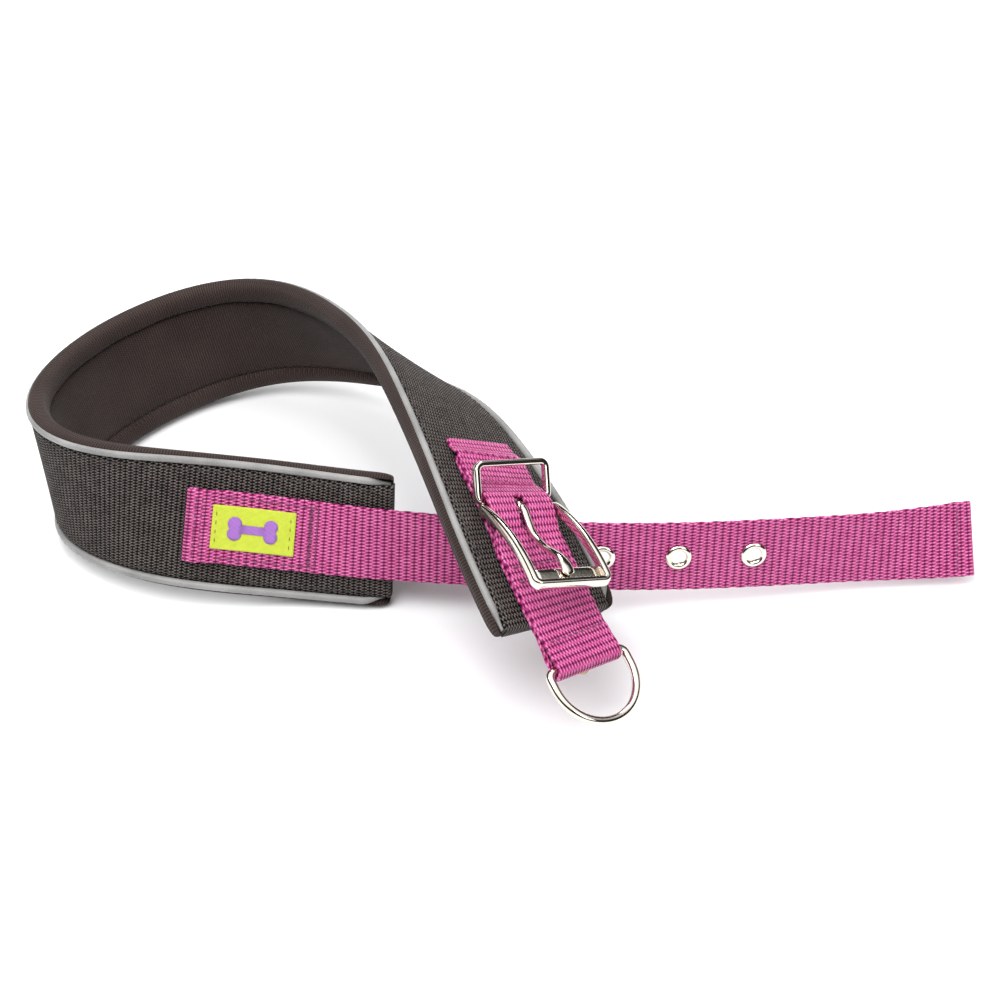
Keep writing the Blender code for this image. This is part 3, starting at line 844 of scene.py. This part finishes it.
def build_eyelets(paints):
    """A domed nickel shell in each hole, with its barrel and a brass washer behind. Profiles are (r, n)."""
    dome = smooth_line([
        (2.42, 2.4), (2.48, 2.85), (2.8, 3.24), (3.35, 3.38), (3.95, 3.25), (4.36, 2.85), (4.36, 2.72),
    ], 0.18)
    barrel = [(4.1, 2.66), (2.85, 2.66), (2.95, 1.2), (3.08, 0.3), (2.9, 0.3), (2.6, 1.1)]
    shell = np.concatenate([dome, barrel])
    washer = smooth_line([(3.1, 0.72), (4.2, 0.72), (4.42, 0.52), (4.25, 0.33), (3.1, 0.3)], 0.25)
    for i, s in enumerate(HOLE_AT, 1):
        for name, profile, look, node in (
            ("shell", shell, "nickel", f"eyelet_{i}"),
            ("washer", washer, "brass", f"eyelet_washer_{i}"),
        ):
            mesh = merge(name, [revolved(name, profile)])
            mesh.transform(hardware_matrix(s, 0))
            make_object(f"{name}_{i}", mesh, paints[look], "collar", (node,))


# --- the buckle end ---------------------------------------------------------------------------

KEEPER_S, KEEPER_N, KEEPER_LEAN = 400.6, 4.6, 50.0
PIVOT_S, PIVOT_N = 404.4, 5.3
FRAME_LENGTH = 36.8
FRAME_HALF = 12.1
FRAME_TILT = 8.0
DRING_S, DRING_N, DRING_TILT = 458.2, 2.55, -4.0
DRING_WIRE = 1.4
RIVET_S = 457.8


def buckle_route():
    """Up over the keeper and the pivot bar, round the D ring's bar, and back along the band."""
    path = [
        (370, 1.75), (373, 1.75), (376, 2.2), (379, 3.4), (384, 3.4), (388, 3.4), (392, 3.6),
        (396.4, 5.4), (400.4, 7.1), (404.4, 7.5), (408.5, 6.3), (413, 4.2), (417, 3.4), (447, 3.4),
        (452, 4.1),
    ]
    path += arc((DRING_S, DRING_N), 2.5, 75, -75, 13).tolist()
    path += [(452, 0.9), (447, 1.7), (380, 1.7)]
    return Route(path, 1.6)


def build_buckle_strap(paints):
    route = buckle_route()
    lay_strap("buckle_end_strap", route, [(406.9, 2.1, 8.2)], paints["magenta"], ("buckle_strap",),
              gather)
    marks = []
    for s, n in ((449.5, 4.35), (424.5, 4.15), (429.5, 4.15)):
        marks += row((s, -10.8, n), (s, 10.8, n), 2.4)
    stitches("strap_stitches", marks, 0.36, paints["dark_thread"], gather)
    for name, s, n, reach in (("strap_tack", 379.5, 4.12, 0.9), ("strap_tack_2", 393.5, 5.05, 0.8)):
        marks = zigzag(s, n, reach, 10.8, 16)
        stitches(name, marks, 0.26, paints["thread"], gather)


def arch(x):
    """The height of the buckle frame's bow above its pivot, x mm along it."""
    rise, span = 4.4, 46
    return rise * np.sin(np.pi * np.clip(x, 0, span) / span) ** 0.8


def build_frame(paints):
    """The buckle's arched frame: a rounded bar on three sides, a recessed ledge and the pivot bar."""
    outer = FRAME_HALF + 1.05
    corner = 1.9
    front = FRAME_LENGTH + 0.4
    right = np.stack([np.linspace(-1.7, front - corner, 50), np.full(50, -outer)], 1)
    left = right[::-1] * (1, -1)
    bend_r = arc((front - corner, -outer + corner), corner, -90, 0, 9)[1:-1]
    bend_l = bend_r[::-1] * (1, -1)
    across = np.stack([np.full(31, front), np.linspace(-outer + corner, outer - corner, 31)], 1)
    line = np.concatenate([right, bend_r, across, bend_l, left])
    points = np.column_stack([line, arch(line[:, 0])])
    ends = np.concatenate([[0.35, 0.75, 0.93], np.ones(len(line) - 6), [0.93, 0.75, 0.35]])
    bar = ring_mesh("bar", tube_rings(points, (0, 0, 1.0), 1.18 * ends, 1.75 * ends, 20, 3.6))
    x = np.linspace(FRAME_LENGTH - 6.0, FRAME_LENGTH - 0.2, 16)
    lift = arch(x)
    edge = np.clip(np.minimum(x - x[0], 1.0), 0, 1) * 0.25
    upper = np.column_stack([x, lift - 0.95 + edge])
    lower = np.column_stack([x[::-1], lift[::-1] - 1.5])
    outline = np.concatenate([upper, lower])
    slab = np.array([np.column_stack([outline[:, 0], np.full(len(outline), y), outline[:, 1]])
                     for y in np.linspace(-FRAME_HALF - 0.4, FRAME_HALF + 0.4, 9)])
    pivot_line = np.column_stack([np.zeros(9), np.linspace(-13.1, 13.1, 9), np.zeros(9)])
    pivot = ring_mesh("pivot", tube_rings(pivot_line, (0, 0, 1.0), 1.15, 1.15, 20))
    mesh = merge("frame", [bar, ring_mesh("ledge", slab), pivot])
    mesh.transform(hardware_matrix(PIVOT_S, PIVOT_N, FRAME_TILT))
    make_object("buckle_bow", mesh, paints["nickel"], "buckle", ("buckle_frame",))


def build_prong(paints):
    """The prong: an eye round the pivot bar and an S-shaped tongue, with keys of (x, z, half widths)."""
    angles = np.linspace(0, 2 * math.pi, 37)[:-1]
    ring = np.array([(1.9 * math.cos(a), 0, 1.9 * math.sin(a)) for a in angles])
    eye = ring_mesh("eye", loop_rings(ring, (0, 1.0, 0), 0.6, 1.15, 14, 2.6), closed=True)
    keys = smooth_line([
        (0.6, 2.1, 1.05, 0.8), (3.2, 1.8, 1.2, 0.95), (6.5, 0.7, 1.2, 1.0), (10.5, -0.3, 1.2, 1.0),
        (15, -0.1, 1.2, 1.0), (19.5, 1.2, 1.2, 1.0), (23.5, 2.9, 1.3, 1.0), (27, 4.1, 1.5, 0.95),
        (31, 4.45, 1.95, 0.85), (33.6, 4.0, 2.05, 0.7), (34.8, 3.7, 1.7, 0.5),
    ], 0.5)
    points = np.column_stack([keys[:, 0], np.zeros(len(keys)), keys[:, 1]])
    close = np.ones(len(keys))
    close[:2] = (0.5, 0.85)
    close[-3:] = (0.92, 0.72, 0.3)
    rings = tube_rings(points, (0, 0, 1.0), keys[:, 2] * close, keys[:, 3] * close, 16, 2.5)
    mesh = merge("prong", [eye, ring_mesh("tongue", rings)])
    mesh.transform(hardware_matrix(PIVOT_S, PIVOT_N, FRAME_TILT))
    make_object("prong_tongue", mesh, paints["nickel"], "prong", ("prong",))


def build_keeper(paints):
    """The keeper: a flat-sided wire loop with round corners that stands on its lower bar."""
    half, height, radius = 13.2, 12.0, 2.2
    corners = [((half - radius, radius), -90), ((half - radius, height - radius), 0),
               ((-half + radius, height - radius), 90), ((-half + radius, radius), 180)]
    line = np.concatenate([arc(centre, radius, start, start + 90, 10) for centre, start in corners])
    dense = []
    for a, b in zip(line, np.roll(line, -1, axis=0)):
        count = max(1, round(np.linalg.norm(b - a) / 1.2))
        dense += [a + (b - a) * k / count for k in range(count)]
    dense = np.array(dense)
    points = np.column_stack([np.zeros(len(dense)), dense])
    wire = ring_mesh("wire", loop_rings(points, (1.0, 0, 0), 1.05, 1.28, 20, 3.6), closed=True)
    mesh = merge("keeper", [wire])
    mesh.transform(hardware_matrix(KEEPER_S, KEEPER_N, KEEPER_LEAN, KEEPER_SKEW))
    make_object("keeper_wire", mesh, paints["nickel"], "keeper", ("keeper_loop",))


def build_dring(paints):
    """The D ring: a straight bar in the strap's fold, two tight corners and a round bow."""
    half, straight, depth, radius = 15.2, 5.5, 20.0, 2.4
    bar = np.column_stack([np.zeros(20), np.linspace(-half + 2.6, half - 2.6, 20)])
    corner = arc((radius, half - radius), radius, 180, 90, 9)
    angle = np.radians(np.linspace(90, -90, 61))
    bow = np.column_stack([straight + (depth - straight) * np.cos(angle), half * np.sin(angle)])
    line = np.concatenate([bar, corner, bow, corner[::-1] * (1, -1)])
    points = np.column_stack([line, np.zeros(len(line))])
    wire = ring_mesh("wire", loop_rings(points, (0, 0, 1.0), DRING_WIRE, DRING_WIRE, 20), closed=True)
    mesh = merge("d_ring", [wire])
    mesh.transform(hardware_matrix(DRING_S, DRING_N, DRING_TILT, FOLD_SKEW))
    make_object("leash_ring", mesh, paints["nickel"], "ring", ("d_ring",))


def build_rivet(paints):
    """The small brass disc on the underside of the strap's end fold."""
    head = smooth_line([(0.05, -1.85), (1.4, -1.8), (2.6, -1.55), (3.3, -1.15), (3.4, -0.85)], 0.25)
    profile = np.concatenate([head, [(0.05, -0.8)]])
    mesh = merge("rivet", [revolved("rivet", profile, 48)])
    mesh.transform(hardware_matrix(RIVET_S, 0.0))
    make_object("rivet_head", mesh, paints["brass"], "collar", ("back_rivet",))


# --- studio -----------------------------------------------------------------------------------


def build_floor():
    half = 12
    corners = [(-half, -half, 0), (half, -half, 0), (half, half, 0), (-half, half, 0)]
    mesh = bpy.data.meshes.new("floor")
    mesh.from_pydata(corners, [], [(0, 1, 2, 3)])
    floor = bpy.data.objects.new("floor", mesh)
    paint = Paint("floor_paint", roughness=0.9, specular=0.2)
    paint.shader.inputs["Base Color"].default_value = (0.93, 0.93, 0.94, 1)
    mesh.materials.append(paint.material)
    bpy.context.scene.collection.objects.link(floor)


def build_world():
    """Light from above, and dark near the horizon so that the metal has something to reflect."""
    world = bpy.data.worlds.new("studio")
    world.use_nodes = True
    background = world.node_tree.nodes["Background"]
    where = world.node_tree.nodes.new("ShaderNodeTexCoord")
    split = world.node_tree.nodes.new("ShaderNodeSeparateXYZ")
    ramp = world.node_tree.nodes.new("ShaderNodeValToRGB")
    world.node_tree.links.new(where.outputs["Generated"], split.inputs[0])
    world.node_tree.links.new(split.outputs["Z"], ramp.inputs[0])
    world.node_tree.links.new(ramp.outputs[0], background.inputs["Color"])
    for element, (height, grey) in zip(ramp.color_ramp.elements, ((0.52, 0.02), (0.74, 1.0))):
        element.position = height
        element.color = (grey, grey, grey, 1)
    background.inputs["Strength"].default_value = 1.5
    bpy.context.scene.world = world


def build_lamps():
    for name, spot, aim, size, power in (
        ("key", (-0.4, -0.3, 1.3), (0, 0, 0.02), 0.9, 14.0),
        ("fill", (0.9, -0.9, 0.8), (0, 0, 0.03), 0.5, 4.0),
        ("back", (0.1, 1.1, 0.8), (0, 0, 0.03), 0.4, 4.0),
    ):
        lamp = bpy.data.lights.new(name, "AREA")
        lamp.shape = "SQUARE"
        lamp.size = size
        lamp.energy = power
        obj = bpy.data.objects.new(name, lamp)
        obj.location = spot
        obj.rotation_euler = (Vector(aim) - Vector(spot)).to_track_quat("-Z", "Y").to_euler()
        bpy.context.scene.collection.objects.link(obj)


def build_camera():
    """The photo's view: a long lens looking down 43 degrees."""
    camera = bpy.data.cameras.new("camera")
    camera.sensor_width = 36.0
    camera.lens = 82.9
    camera.clip_end = 20
    view = bpy.data.objects.new("camera", camera)
    view.location = (0.0, -0.5559, 0.5484)
    view.rotation_euler = (math.radians(47.0), 0, 0)
    bpy.context.scene.collection.objects.link(view)
    bpy.context.scene.camera = view


def main():
    paints = make_paints()
    build_floor()
    build_world()
    build_lamps()
    build_camera()
    bpy.context.scene.view_settings.view_transform = "Standard"
    build_webbing(paints)
    build_piping(paints)
    build_rims(paints)
    build_lining(paints)
    build_bindings(paints)
    build_tail(paints)
    build_label(paints)
    build_motif(paints)
    build_eyelets(paints)
    build_buckle_strap(paints)
    build_frame(paints)
    build_prong(paints)
    build_keeper(paints)
    build_dring(paints)
    build_rivet(paints)


main()
